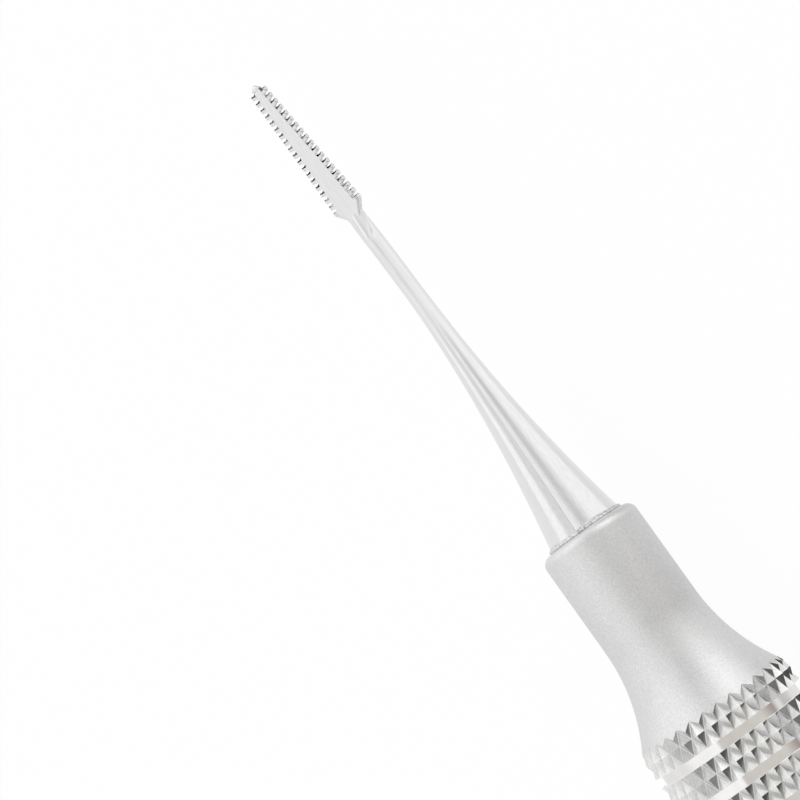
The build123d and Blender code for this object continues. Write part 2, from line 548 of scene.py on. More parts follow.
class CopyTree:
    """Geometry Nodes tree that copies a tile round the X axis and along a step and dresses it."""

    inputs = {
        "Tile": "Geometry", "Copies round": "Int", "Copies along": "Int", "Step": "Vector",
        **{finish.label: "Material" for finish in Finish},
    }

    def __init__(self) -> None:
        """Builds the tree, with its named inputs."""
        self.tree = bpy.data.node_groups.new("copies_of_a_tile", "GeometryNodeTree")
        self.ids: dict[str, str] = {}
        sides = self.tree.interface
        for name, kind in self.inputs.items():
            socket = sides.new_socket(name, in_out="INPUT", socket_type=f"NodeSocket{kind}")
            self.ids[name] = socket.identifier
        sides.new_socket("Copies", in_out="OUTPUT", socket_type="NodeSocketGeometry")
        self._nodes()

    def _nodes(self) -> None:
        """Adds the nodes: points, their places and turns, the copies and their finishes."""
        board = NodeBoard(self.tree)
        given = board.add("NodeGroupInput").outputs
        around, along = given["Copies round"], given["Copies along"]
        index = board.add("GeometryNodeInputIndex").outputs[0]
        count = board.value("MULTIPLY", around, along)
        row = board.value("FLOOR", board.value("DIVIDE", index, around))
        column = board.value("SUBTRACT", index, board.value("MULTIPLY", row, around))
        turn = board.value("MULTIPLY", column, board.value("DIVIDE", 2 * math.pi, around))
        steps = {0: given["Step"], "Scale": row}
        place = board.add("ShaderNodeVectorMath", steps, operation="SCALE").outputs[0]
        points = board.add("GeometryNodePoints", {"Count": count}).outputs[0]
        moves = {"Geometry": points, "Offset": place}
        copies = {
            "Points": board.add("GeometryNodeSetPosition", moves).outputs[0],
            "Instance": given["Tile"],
            "Rotation": board.add("ShaderNodeCombineXYZ", {"X": turn}).outputs[0],
        }
        made = board.add("GeometryNodeInstanceOnPoints", copies).outputs[0]
        made = board.add("GeometryNodeRealizeInstances", {"Geometry": made}).outputs[0]
        mark = board.add("GeometryNodeInputNamedAttribute", {"Name": "finish"}, data_type="INT")
        for finish in Finish:
            same = {2: mark.outputs[0], 3: finish.value}
            chosen = board.add("FunctionNodeCompare", same, data_type="INT", operation="EQUAL")
            dress = {"Geometry": made, "Selection": chosen.outputs[0]}
            dress["Material"] = given[finish.label]
            made = board.add("GeometryNodeSetMaterial", dress).outputs[0]
        board.add("NodeGroupOutput", {0: made})

    def copies(
        self, tile: Mesh, around: int, along: int, step: Vector, materials: list[Material]
    ) -> Mesh:
        """Copies a tile.

        Args:
            tile: The mesh to copy, in its first place.
            around: Number of copies round the X axis.
            along: Number of copies along the step.
            step: Way from one copy to the next, in metres.
            materials: Materials for the finishes, in their order.

        Returns:
            A plain mesh of all the copies.
        """
        carrier = bpy.data.objects.new(tile.name, tile)
        bpy.context.scene.collection.objects.link(carrier)
        modifier = carrier.modifiers.new("copies", "NODES")
        modifier.node_group = self.tree
        given = {"Copies round": around, "Copies along": along, "Step": tuple(step)}
        given |= {finish.label: material for finish, material in zip(Finish, materials)}
        for name, value in given.items():
            modifier[self.ids[name]] = value
        carrier.update_tag()
        mesh = plain_mesh(carrier)
        bpy.data.objects.remove(carrier)
        return mesh


def plain_mesh(carrier: bpy.types.Object) -> Mesh:
    """Mesh of an object with its modifiers applied."""
    graph = bpy.context.evaluated_depsgraph_get()
    return bpy.data.meshes.new_from_object(carrier.evaluated_get(graph), depsgraph=graph)


def weld(
    name: str, meshes: list[Mesh], mirrored: str | None = None, sharp: float | None = None
) -> bpy.types.Object:
    """Joins meshes into one object whose faces all point outwards.

    Args:
        name: Name of the object.
        meshes: Meshes in the object's frame, with their materials.
        mirrored: Axis across which a mirrored copy is added, if any.
        sharp: Angle in degrees from which an edge stays sharp, or None for weighted normals.

    Returns:
        The new object, linked to the scene, with its modifiers applied.
    """
    whole = bmesh.new()
    materials: list[Material] = []
    for mesh in meshes:
        start = len(whole.faces)
        whole.from_mesh(mesh)
        whole.faces.ensure_lookup_table()
        for face in whole.faces[start:]:
            material = mesh.materials[face.material_index]
            if material not in materials:
                materials.append(material)
            face.material_index = materials.index(material)
    bmesh.ops.remove_doubles(whole, verts=whole.verts, dist=WELD)
    if mirrored:
        everything = whole.verts[:] + whole.edges[:] + whole.faces[:]
        bmesh.ops.mirror(whole, geom=everything, matrix=Matrix(), merge_dist=WELD, axis=mirrored)
    bmesh.ops.recalc_face_normals(whole, faces=whole.faces)
    open_edges = sum(1 for edge in whole.edges if not edge.is_manifold)
    joined = bpy.data.meshes.new(name)
    whole.to_mesh(joined)
    whole.free()
    for material in materials:
        joined.materials.append(material)
    mark = joined.attributes.get("finish")
    if mark:
        joined.attributes.remove(mark)
    joined.shade_smooth()
    piece = bpy.data.objects.new(name, joined)
    bpy.context.scene.collection.objects.link(piece)
    if sharp is None:
        weigh = piece.modifiers.new("weighted", "WEIGHTED_NORMAL")
        weigh.keep_sharp = False
        weigh.weight = NORMAL_WEIGHT
        piece.data = plain_mesh(piece)
        piece.modifiers.clear()
    else:
        joined.set_sharp_from_angle(angle=math.radians(sharp))
    log.info("%s: %d faces, %d open edges", name, len(piece.data.polygons), open_edges)
    return piece


@dataclass
class Handle:
    """The handle: a tube drawn in to a nose at each end, with knurled bands parted by grooves.

    Sizes are in millimetres. Half of it is built from its mouth inwards and then mirrored.
    """

    plain_relief: float = 0.01
    nose_radius: float = 2.98
    nose_length: float = 6.0
    rim_radius: float = 0.58
    flare_radius: float = 10.7
    bands: int = 5
    band_length: float = 1.66
    groove_width: float = 0.58
    groove_depth: float = 0.38
    diamonds_around: int = 32
    rest_turn: float = 0.25
    knurl_depth: float = 0.30
    root_flat: float = 0.036
    socket_radius: float = 2.33
    socket_depth: float = 14.4
    cavity_radius: float = 3.55
    cuts_per_diamond: int = 6
    flare_steps: int = 28
    rim_steps: int = 10
    sharp_angle: float = 16.0
    run_out_cuts: tuple[float, ...] = (0.04, 0.12, 0.18, 0.24, 0.30, 0.36, 0.42, 0.5, 0.6, 0.75)
    whole_crest: float = 0.999
    closeness: float = 1e-6
    root_radius: float = field(init=False)
    groove_radius: float = field(init=False)
    flare_turn: float = field(init=False)
    knurl_start: float = field(init=False)
    crest_radius: float = field(init=False)
    crest_end: float = field(init=False)

    def __post_init__(self) -> None:
        """Works out the sizes that follow from the others."""
        self.root_radius = GRIP_RADIUS - self.knurl_depth
        self.groove_radius = GRIP_RADIUS - self.groove_depth
        rise = self.root_radius - self.nose_radius
        self.flare_turn = math.acos(1 - rise / self.flare_radius)
        self.knurl_start = self.nose_length + self.flare_radius * math.sin(self.flare_turn)
        self.crest_radius = self.knurl_depth / (1 - math.cos(self.flare_turn))
        self.crest_end = self.knurl_start + self.crest_radius * math.sin(self.flare_turn)

    @property
    def pitch(self) -> float:
        """Length of a band and its groove."""
        return self.band_length + self.groove_width

    def spot(self, x: float, step: float, radius: float) -> Vector:
        """Point of the half: distance from the mouth, turn in diamonds, and radius."""
        turn = (step + self.rest_turn) * 2 * math.pi / self.diamonds_around
        return Vector((x - MOUTH, radius * math.sin(turn), radius * math.cos(turn)))

    def rings(self, profile: list[Range]) -> list[list[Vector]]:
        """Turned circles, one for each distance and radius."""
        cuts = self.cuts_per_diamond
        steps = [i / cuts for i in range(self.diamonds_around * cuts)]
        return [[self.spot(x, step, radius) for step in steps] for x, radius in profile]

    def crest_share(self, x: float) -> float:
        """How much of the knurl's depth the blank leaves at a distance from the mouth."""
        if x >= self.crest_end:
            return 1.0
        fall = self.crest_radius - math.sqrt(self.crest_radius**2 - (self.crest_end - x) ** 2)
        return 1 - fall / self.knurl_depth

    def profile(self) -> list[Range]:
        """Outer profile from the mouth to the end of the flare."""
        points = [(0.0, self.nose_radius - self.rim_radius)]
        for k in range(1, self.rim_steps + 1):
            turn = math.pi / 2 * k / self.rim_steps
            inward = self.rim_radius * (1 - math.sin(turn))
            points.append((self.rim_radius * (1 - math.cos(turn)), self.nose_radius - inward))
        for k in range(self.flare_steps + 1):
            turn = self.flare_turn * k / self.flare_steps
            x = self.nose_length + self.flare_radius * math.sin(turn)
            points.append((x, self.nose_radius + self.flare_radius * (1 - math.cos(turn))))
        return points

    def turned_parts(self, satin: Material, polished: Material) -> Mesh:
        """Nose, flare, groove floors, plain middle and the socket with the bore behind it.

        Args:
            satin: Finish of all but the grooves.
            polished: Finish of the grooves.

        Returns:
            The turned parts, open where the bands go.
        """
        shell = Shell()
        shell.skin(self.rings(self.profile()))
        bore = [
            (0.0, self.nose_radius - self.rim_radius),
            (0.0, self.socket_radius),
            (self.socket_depth, self.socket_radius),
            (self.socket_depth, self.cavity_radius),
            (MOUTH, self.cavity_radius),
        ]
        shell.skin(self.rings(bore))
        for i in range(self.bands):
            start = self.knurl_start + self.band_length + i * self.pitch
            ends = (start, start + self.groove_width)
            shell.skin(self.rings([(x, self.groove_radius) for x in ends]), Finish.CUT)
        grip_end = self.knurl_start + self.bands * self.pitch
        plain = GRIP_RADIUS - self.plain_relief
        shell.skin(self.rings([(grip_end, self.groove_radius), (grip_end, plain)]), Finish.CUT)
        shell.skin(self.rings([(grip_end, plain), (MOUTH, plain)]))
        return shell.dressed("turned_parts", [satin, polished])

    def row_of(self, x: float, front: float, run_out: bool) -> list[Range]:
        """Points across half a diamond at one distance: turn in diamonds, and share of the depth.

        Args:
            x: Distance from the mouth.
            front: Distance of the band's front from the mouth.
            run_out: Whether the crests are cut by the rounded blank.

        Returns:
            Six points from the middle of the diamond to its side.
        """
        half = self.band_length / 2
        along = min(max((x - front) / half, 0.0), 2.0)
        across = along if along <= 1 else 2 - along
        flat = 2 * self.root_flat
        top = max(self.crest_share(x), 0.0) if run_out else 1.0
        reach = flat + top * (1 - flat)
        turns = [0.0, (across - reach) / 2, across / 2 - self.root_flat]
        turns += [across / 2 + self.root_flat, (across + reach) / 2, 0.5]
        row = []
        for turn in turns:
            held = min(max(turn, 0.0), 0.5)
            height = (abs(across - 2 * held) - flat) / (1 - flat)
            row.append((held, min(max(height, 0.0), top)))
        return row

    def band_tile(self, run_out: bool) -> Mesh:
        """One diamond's share of a band: its facets, and walls down to the groove's floor.

        Args:
            run_out: Whether this is the first band, which runs out into the flare.

        Returns:
            The tile, in its first place.
        """
        shell = Shell()
        half, flat = self.band_length / 2, 2 * self.root_flat
        front = self.knurl_start if run_out else self.knurl_start + self.pitch
        shares = sorted([0, flat, 1 - flat, 1, *(self.run_out_cuts if run_out else ())])
        stops = [front + share * half for share in shares]
        stops += [front + (2 - share) * half for share in reversed(shares[:-1])]
        rows = {x: self.row_of(x, front, run_out) for x in stops}

        def chain(x: float, side: int) -> list[Vector]:
            """Points across half a diamond, at one distance and on one side of its middle."""
            root, depth = self.root_radius, self.knurl_depth
            return [self.spot(x, side * turn, root + rise * depth) for turn, rise in rows[x]]

        def uncut(near: float, far: float, k: int) -> bool:
            """Whether the facet after point k lies on the rounded blank, which isn't knurled."""
            return self.crest_share(near) < self.whole_crest and all(
                abs(rows[x][n][1] - max(self.crest_share(x), 0.0)) < self.closeness
                for x in (near, far)
                for n in (k, k + 1)
            )

        for side in (-1, 1):
            for near, far in zip(stops, stops[1:]):
                first, second = chain(near, side), chain(far, side)
                for k in range(len(first) - 1):
                    kind = Finish.CUT if run_out and uncut(near, far, k) else Finish.MAIN
                    shell.face([first[k], first[k + 1], second[k + 1], second[k]], kind)
            for x in (stops[0], stops[-1]):
                at_flare = run_out and x == stops[0]
                radius = self.root_radius if at_flare else self.groove_radius
                steps = [k / self.cuts_per_diamond for k in range(self.cuts_per_diamond // 2 + 1)]
                floor = [self.spot(x, side * step, radius) for step in steps]
                edge = chain(x, side)
                if side < 0:
                    floor.reverse()
                    edge.reverse()
                shell.stitch(floor, edge, Finish.CUT if at_flare else Finish.SIDE)
        return shell.mesh("band_tile")

    def build(
        self, tree: CopyTree, satin: Material, knurled: Material, polished: Material
    ) -> bpy.types.Object:
        """Builds the handle.

        Args:
            tree: The Geometry Nodes tree that copies the tiles.
            satin: Finish of the nose, flare and plain middle.
            knurled: Finish of the diamond faces.
            polished: Finish of the grooves.

        Returns:
            The handle as one object in the shared frame.
        """
        finishes = [knurled, satin, polished]
        step = Vector((self.pitch * MM, 0, 0))
        first = tree.copies(self.band_tile(True), self.diamonds_around, 1, step, finishes)
        others = self.bands - 1
        rest = tree.copies(self.band_tile(False), self.diamonds_around, others, step, finishes)
        meshes = [self.turned_parts(satin, polished), first, rest]
        piece = weld("handle_steel", meshes, mirrored="X", sharp=self.sharp_angle)
        piece.data.transform(Matrix.Translation((0, 0, AXIS_HEIGHT * MM)))
        return piece


@dataclass
class Blade:
    """The thin plate with filing teeth along both edges and a square point.

    Sizes are in millimetres. It lies flat with its point at the origin and its root towards -X.
    Its outline is drawn as (distance behind the point, sideways).
    """

    thickness: float = 0.26
    root_thickness: float = 0.46
    tip_width: float = 1.07
    base_width: float = 1.85
    point_angle: float = 90.0
    point_length: float = 0.42
    teeth_per_edge: int = 18
    pitch: float = 0.4325
    slot_width: float = 0.155
    slot_depth: float = 0.31
    slot_slant: float = 10.5
    slot_round: float = 0.48
    tooth_round: float = 0.10
    point_round: float = 0.04
    shoulder_length: float = 0.24
    shoulder_angle: float = 38.0
    shoulder_round: float = 0.12
    tail_width: float = 0.52
    thicken_start: float = 4.8
    thicken_run: float = 4.4
    chamfer: float = 0.018
    front_width: float = 0.085
    front_drop: float = 0.06
    spine_depth: float = 0.36
    lead: float = 0.09
    arc_steps: int = 5
    least_turn: float = 0.25

    @property
    def toothed_length(self) -> float:
        """Length over all the teeth of an edge."""
        return self.teeth_per_edge * self.pitch

    @property
    def length(self) -> float:
        """Length from the point to the shoulder."""
        return self.point_length + self.toothed_length + self.shoulder_length

    @property
    def slope(self) -> float:
        """How much an edge widens for each millimetre behind the point."""
        return (self.base_width - self.tip_width) / (2 * self.toothed_length)

    def half_width(self, q: float) -> float:
        """Half the width over the teeth at a distance behind the point."""
        return self.tip_width / 2 + (q - self.point_length) * self.slope

    def rounded(self, before: Vector, corner: Vector, after: Vector, reach: float) -> list[Vector]:
        """Points of a smooth curve that cuts a corner.

        Args:
            before: The point before the corner.
            corner: The corner.
            after: The point after it.
            reach: Distance from the corner at which the curve leaves each side.

        Returns:
            The curve's points, ends included.
        """
        start = corner + (before - corner).normalized() * reach
        end = corner + (after - corner).normalized() * reach
        points = []
        for k in range(self.arc_steps + 1):
            share = k / self.arc_steps
            bend = corner * 2 * share * (1 - share)
            points.append(start * (1 - share) ** 2 + bend + end * share**2)
        return points

    def slot(self, i: int) -> list[Vector]:
        """Outline of a slot, from the rounded back of one tooth to the tip of the next.

        Args:
            i: Number of the slot, with 0 between the point and the first tooth.

        Returns:
            The outline's points, which end at the tip of tooth i.
        """
        slant = math.radians(self.slot_slant)
        inward = Vector((math.sin(slant), -math.cos(slant)))
        forward = Vector((-math.cos(slant), -math.sin(slant)))
        q = self.point_length + i * self.pitch
        tip = Vector((q, self.half_width(q)))
        wall_foot = tip + inward * self.slot_depth
        far_foot = wall_foot + forward * self.slot_width
        slope = math.tan(math.radians(self.point_angle / 2)) if i == 0 else self.slope
        outline = far_foot.x * slope if i == 0 else self.half_width(far_foot.x)
        rise = (outline - far_foot.y) / (math.cos(slant) + slope * math.sin(slant))
        mouth = far_foot - inward * rise
        ahead = mouth - Vector((1, slope))
        back = self.point_round if i == 0 else self.tooth_round
        floor = self.slot_width * self.slot_round
        chain = self.rounded(ahead, mouth, far_foot, back)
        chain += self.rounded(mouth, far_foot, wall_foot, floor)
        chain += self.rounded(far_foot, wall_foot, tip, floor)
        return chain + [tip]

    def slot_kinds(self, slot: list[Vector]) -> list[Finish]:
        """Finish of each step of a slot's outline, and of the step behind the tooth's tip."""
        front = self.arc_steps
        return [Finish.SIDE] * (len(slot) - 1 - front) + [Finish.CUT] * front + [Finish.MAIN]

    def lead_point(self, i: int) -> Vector:
        """Point on the outline just behind the tip of tooth i, where one tile ends."""
        q = self.point_length + i * self.pitch + self.lead
        return Vector((q, self.half_width(q)))

    def inset(self, before: Vector, corner: Vector, after: Vector, widths: Range) -> Vector:
        """Point inside a corner of the outline.

        Args:
            before: The outline's point before the corner.
            corner: The corner.
            after: The outline's point after it.
            widths: Distances of the new point from the two sides that meet at the corner.

        Returns:
            The point inside the outline.
        """
        first, second = (corner - before).normalized(), (after - corner).normalized()
        normals = Vector((first.y, -first.x)), Vector((second.y, -second.x))
        turn = normals[0].x * normals[1].y - normals[0].y * normals[1].x
        if abs(turn) < self.least_turn:
            mean = (normals[0] + normals[1]).normalized()
            return corner + mean * (sum(widths) / 2)
        across = widths[0] * normals[1].y - widths[1] * normals[0].y
        down = normals[0].x * widths[1] - normals[1].x * widths[0]
        return corner + Vector((across, down)) / turn

    def slab(
        self,
        shell: Shell,
        chain: list[Vector],
        kinds: list[Finish],
        ends: tuple[Vector, Vector],
        inner: list[Vector],
    ) -> None:
        """Adds a part of the plate: chamfered edge along a chain, and both faces inside it.

        Args:
            shell: Where the faces go.
            chain: Points of the outline.
            kinds: Kind of each step of the chain: MAIN on the outline, SIDE in a slot, CUT on a
                tooth's front.
            ends: The outline's points before and after the chain.
            inner: Points that close the faces from the chain's end back to its start.
        """
        line = [ends[0], *chain, ends[1]]
        steps = [Finish.MAIN, *kinds, Finish.MAIN]
        top = self.thickness / 2
        insets, levels = [], []
        for k in range(1, len(line) - 1):
            pair = steps[k - 1 : k + 1]
            widths = [self.front_width if kind is Finish.CUT else self.chamfer for kind in pair]
            insets.append(self.inset(line[k - 1], line[k], line[k + 1], widths))
            levels.append(top - (self.front_drop if Finish.CUT in pair else self.chamfer))

        def at(point: Vector, level: float) -> Vector:
            """Point of the outline, at a height over the plate's middle."""
            return Vector((-point.x, point.y, level))

        # On the plate, SIDE walls take the slots' painted reflection and CUT chamfers the teeth's
        # painted shade.
        for k, kind in enumerate(kinds):
            near, far = (chain[k], levels[k]), (chain[k + 1], levels[k + 1])
            wall = [at(*near), at(*far), at(far[0], -far[1]), at(near[0], -near[1])]
            shell.face(wall, Finish.MAIN if kind is Finish.MAIN else Finish.SIDE)
            for side in (-1, 1):
                edge = [at(point, side * level) for point, level in (near, far)]
                edge += [at(insets[k + 1], side * top), at(insets[k], side * top)]
                shell.face(edge, Finish.CUT if kind is Finish.CUT else Finish.MAIN)
        for side in (-1, 1):
            shell.face([at(point, side * top) for point in insets + inner])

    def thicken(self, mesh: Mesh) -> Mesh:
        """Lets the plate grow thicker from its middle back to its shoulder, and returns it."""
        for vertex in mesh.vertices:
            share = min(max((-vertex.co.x / MM - self.thicken_start) / self.thicken_run, 0), 1)
            rise = share**2 * (3 - 2 * share)
            vertex.co.z *= 1 + (self.root_thickness / self.thickness - 1) * rise
        return mesh

    def tooth_tile(self) -> Mesh:
        """The plate's edge from just behind one tooth tip to just behind the next, with a slot."""
        shell = Shell()
        start, end = self.lead_point(0), self.lead_point(1)
        slot = self.slot(1)
        before = self.slot(0)[-1]
        after = before + (end - start) + (slot[0] - before)
        depth = Vector((0, self.spine_depth))
        kinds = [Finish.MAIN, *self.slot_kinds(slot)]
        self.slab(shell, [start, *slot, end], kinds, (before, after), [end - depth, start - depth])
        return shell.mesh("tooth_tile")

    def solid_parts(self, finishes: list[Material]) -> Mesh:
        """The point, the spine between the toothed edges, and the shoulders.

        Args:
            finishes: Finishes of the plate, the teeth's fronts and the slots.

        Returns:
            The parts as one mesh, open where the toothed edges go.
        """
        shell = Shell()
        depth = Vector((0, self.spine_depth))
        inner = [self.lead_point(i) - depth for i in range(self.teeth_per_edge + 1)]

        def flip(points: list[Vector]) -> list[Vector]:
            """The same points on the other edge, in the opposite order."""
            return [Vector((point.x, -point.y)) for point in reversed(points)]

        slot = self.slot(0)
        edge = [*slot, self.lead_point(0)]
        tip = self.rounded(flip(slot)[-1], Vector((0, 0)), slot[0], self.point_round)
        marks = self.slot_kinds(slot)
        kinds = list(reversed(marks)) + [Finish.MAIN] * (len(tip) + 1) + marks
        after = self.slot(1)[0]
        ends = (*flip([after]), after)
        self.slab(shell, flip(edge) + tip + edge, kinds, ends, [inner[0], *flip([inner[0]])])

        top = self.thickness / 2
        for side in (-1, 1):
            for near, far in zip(inner, inner[1:]):
                corners = [near, far, *flip([near, far])]
                shell.face([Vector((-point.x, point.y, side * top)) for point in corners])

        self._shoulders(shell)
        return shell.dressed("blade_body", finishes)

    def _shoulders(self, shell: Shell) -> None:
        """Adds the chamfered shoulders, from behind the last teeth to the plate's tail.

        Args:
            shell: Where the faces go.
        """
        top = self.thickness / 2
        q = self.point_length + self.toothed_length
        shoulder = Vector((q + self.shoulder_length, self.half_width(q)))
        tail_half = self.tail_width / 2
        run = (shoulder.y - tail_half) / math.tan(math.radians(self.shoulder_angle))
        tail = Vector((shoulder.x + run, tail_half))
        start = self.lead_point(self.teeth_per_edge)
        bend = self.rounded(start, shoulder, tail, self.shoulder_round)
        run_down = [bend[-1].lerp(tail, k / self.arc_steps) for k in range(1, self.arc_steps + 1)]
        spine = 1 - self.spine_depth / start.y
        rows = []
        for point in [start, *bend, *run_down]:
            side, face = point.y, point.y - self.chamfer
            half = [(side, top - self.chamfer), (face, top), (side * spine, top)]
            half += [(-y, z) for y, z in reversed(half)]
            ring = half + [(y, -z) for y, z in reversed(half)]
            rows.append([Vector((-point.x, y, z)) for y, z in ring])
        # The side walls take the SIDE finish, which on the plate is the slots' painted reflection.
        strips = {
            (1, 2, 3, 4): Finish.MAIN,
            (4, 5, 6, 7): Finish.SIDE,
            (7, 8, 9, 10): Finish.MAIN,
            (10, 11, 0, 1): Finish.SIDE,
        }
        for places, finish in strips.items():
            shell.skin([[row[i] for i in places] for row in rows], finish, closed=False)
        shell.face(rows[-1])

    def build(self, tree: CopyTree, finishes: list[Material]) -> list[Mesh]:
        """Builds the plate's meshes, with the teeth copied along both edges.

        Args:
            tree: The Geometry Nodes tree that copies the teeth.
            finishes: Finishes of the plate, the teeth's fronts and the slots.

        Returns:
            The two toothed edges and the rest of the plate.
        """
        step = Vector((-self.pitch, self.pitch * self.slope, 0)) * MM
        left = tree.copies(self.tooth_tile(), 1, self.teeth_per_edge, step, finishes)
        right = left.copy()
        right.transform(Matrix.Scale(-1, 4, (0, 1, 0)))
        return [self.thicken(mesh) for mesh in (left, right, self.solid_parts(finishes))]


@dataclass
class WorkingEnd:
    """One working end: tang, land, ground shank that bends and thins, and toothed blade.

    Sizes are in millimetres. Its mouth plane is at the origin and its blade towards +X. The land's
    outline is given as heights over the mouth and radii.
    """

    blade: Blade = field(default_factory=Blade)
    tang_radius: float = 2.30
    tang_length: float = 14.0
    tang_edge: float = 0.15
    land_outline: tuple[Range, ...] = (
        (0.025, 2.31), (0.07, 2.33), (0.13, 2.32), (0.19, 2.26),
        (0.25, 2.15), (0.31, 2.02), (0.34, 1.92),
    )
    land_inner: Range = (0.34, 1.62)
    land_lift: float = 0.016
    land_grains: float = 4.5
    land_lip: float = 0.05
    lip_height: float = 0.3
    lip_fall: Range = (0.5, 1.6)
    cuts: int = 240
    shank_start_diameter: float = 4.56
    neck_diameter: float = 1.09
    taper_length: float = 16.7
    taper_power: float = 1.91
    narrow_flat_arc: float = 30.0
    bend_start: float = 12.7
    bend_length: float = 9.3
    bend_angle: float = 5.9
    flatten_start: float = 19.9
    neck_end_thickness: float = 0.36
    neck_gap: float = 0.30
    arris: float = 0.035
    arris_cut: float = 0.15
    bulge: float = 0.035
    flat_marks: tuple[float, ...] = (0.2, 0.35, 0.5, 0.65, 0.8)
    stations: int = 96

    @property
    def neck_end(self) -> float:
        """Distance from the mouth at which the neck ends, between the blade's shoulders."""
        return self.bend_start + self.bend_length - self.neck_gap

    def axis(self, distance: float) -> Matrix:
        """Frame on the bent axis: X forward, Y sideways, Z up, at a distance from the mouth."""
        bend_radius = self.bend_length / math.radians(self.bend_angle)
        turn = min(max(distance - self.bend_start, 0), self.bend_length) / bend_radius
        beyond = max(distance - self.bend_start - self.bend_length, 0)
        straight = min(distance, self.bend_start)
        x = straight + bend_radius * math.sin(turn) + beyond * math.cos(turn)
        z = bend_radius * (1 - math.cos(turn)) + beyond * math.sin(turn)
        return Matrix.Translation((x, 0, z)) @ Matrix.Rotation(-turn, 4, "Y")

    def section(self, distance: float) -> list[Vector]:
        """Section of the shank: eight slightly crowned flats with rounded arrises.

        Args:
            distance: Distance from the mouth, along the bent axis.

        Returns:
            The section's points, across the axis.
        """
        taper = max(1 - distance / self.taper_length, 0) ** self.taper_power
        radius = (self.neck_diameter + (self.shank_start_diameter - self.neck_diameter) * taper) / 2
        flat_angle = math.radians(self.narrow_flat_arc / 2)
        thin_end = self.neck_end_thickness / (2 * radius * math.cos(flat_angle))
        progress = max((distance - self.flatten_start) / (self.neck_end - self.flatten_start), 0)
        thin = 1 + (thin_end - 1) * progress
        corners = []
        for quarter in range(4):
            for side in (-1, 1):
                angle = math.pi / 2 * quarter + side * flat_angle
                y, z = radius * math.cos(angle), thin * radius * math.sin(angle)
                corners.append(Vector((0, y, z)))
        points = []
        for i, corner in enumerate(corners):
            following = corners[(i + 1) % len(corners)]
            run = following - corner
            outward = Vector((0, run.z, -run.y)).normalized()
            edge = self.arris / run.length
            for share in (edge, *self.flat_marks, 1 - edge):
                crown = self.bulge * run.length * 4 * (share - edge) * (1 - edge - share)
                points.append(corner + run * share + outward * crown)
            points.append(following * (1 - self.arris_cut * self.arris / radius))
        place = self.axis(distance)
        return [place @ point for point in points]

    def shank(self, ground: Material) -> Mesh:
        """The shank, skinned through its sections."""
        shell = Shell()
        rows = [self.section(self.neck_end * k / self.stations) for k in range(self.stations + 1)]
        shell.skin(rows, capped=True)
        return shell.dressed("shank", [ground])

    def ring(self, x: float, radius: float, torn: bool = False) -> list[Vector]:
        """Circle round the axis.

        Args:
            x: Height over the mouth.
            radius: Radius of the circle.
            torn: Whether it is roughened, with a lip pushed out on one side.

        Returns:
            The circle's points.
        """
        middle, fall = self.lip_fall
        points = []
        for i in range(self.cuts):
            turn = 2 * math.pi * i / self.cuts
            point = Vector((x, radius * math.sin(turn), radius * math.cos(turn)))
            if torn:
                rise = noise.noise(point * self.land_grains) * self.land_lift
                lip = self.land_lip * min(max(middle - fall * math.sin(turn), 0.0), 1.0)
                out = rise + lip * min(max(1 - x / self.lip_height, 0.0), 1.0)
                point += Vector((rise, out * math.sin(turn), out * math.cos(turn)))
            points.append(point)
        return points

    def seat(self, ground: Material, rough: Material) -> Mesh:
        """The tang in its socket, and the rough land at the mouth.

        Args:
            ground: Finish of the tang.
            rough: Finish of the land.

        Returns:
            Both as one mesh.
        """
        shell = Shell()
        back = -self.tang_length
        tang = [
            self.ring(back, self.tang_radius - self.tang_edge),
            self.ring(back + self.tang_edge, self.tang_radius),
            self.ring(0, self.tang_radius),
        ]
        shell.skin(tang)
        shell.face(tang[0])
        torn = [self.ring(x, radius, torn=True) for x, radius in self.land_outline]
        land = [tang[-1], *torn, self.ring(*self.land_inner)]
        shell.skin(land, Finish.CUT)
        shell.face(land[-1], Finish.CUT)
        return shell.dressed("seat", [ground, rough])

    def build(
        self, side: Side, tree: CopyTree, finishes: list[Material], rough: Material
    ) -> bpy.types.Object:
        """Builds one working end.

        Args:
            side: The end of the instrument that it stands at.
            tree: The Geometry Nodes tree that copies the teeth.
            finishes: Finishes of the shank and plate, the teeth's fronts and the slots.
            rough: Finish of the land.

        Returns:
            The working end as one object in the shared frame.
        """
        node, turn = side.value
        ground = finishes[0]
        tip = self.axis(self.bend_start + self.bend_length + self.blade.length)
        plates = self.blade.build(tree, finishes)
        for mesh in plates:
            mesh.transform(Matrix.Translation(tip.translation * MM) @ tip.to_3x3().to_4x4())
        meshes = [*plates, self.shank(ground), self.seat(ground, rough)]
        piece = weld(node.replace("file", "working"), meshes)
        place = Matrix.Translation((0, 0, AXIS_HEIGHT * MM))
        place @= Matrix.Rotation(math.radians(turn), 4, "Z")
        piece.data.transform(place @ Matrix.Translation((MOUTH * MM, 0, 0)))
        return piece


